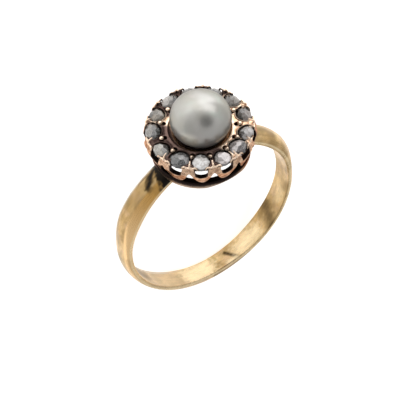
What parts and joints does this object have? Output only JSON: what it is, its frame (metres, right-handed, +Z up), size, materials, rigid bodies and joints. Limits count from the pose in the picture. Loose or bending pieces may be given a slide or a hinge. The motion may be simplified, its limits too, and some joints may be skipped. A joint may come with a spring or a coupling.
{
  "type": "pearl and diamond cluster ring",
  "caption": "Gold finger ring with a round pierced gallery holding a grey pearl on a peg inside a circle of rose-cut diamonds; tapered D-section band; lies on its side.",
  "frame": {"origin": "bottom centre of the bounding box, on the surface that the ring lies on", "axes": "+Z up from the surface, with the finger hole's axis leaning about 12 degrees from it; the head and pearl point along -Y; +X runs across the band"},
  "size_m": [0.0192, 0.0253, 0.0103],
  "materials": {
    "yellow_gold": "satin polish with fine wear marks, darker towards the head",
    "rose_gold": "worn polish on edges and beads, dark tarnish in the recesses",
    "pearl": "grey nacre with a soft satin lustre",
    "diamond": "old rose-cut facets, greyish"
  },
  "bodies": {
    "root": {"band_and_setting": "yellow_gold", "pearl": "pearl", "diamond_01": "diamond", "diamond_02": "diamond", "diamond_03": "diamond", "diamond_04": "diamond", "diamond_05": "diamond", "diamond_06": "diamond", "diamond_07": "diamond", "diamond_08": "diamond", "diamond_09": "diamond", "diamond_10": "diamond", "diamond_11": "diamond", "diamond_12": "diamond", "diamond_13": "diamond"}
  },
  "joints": []
}
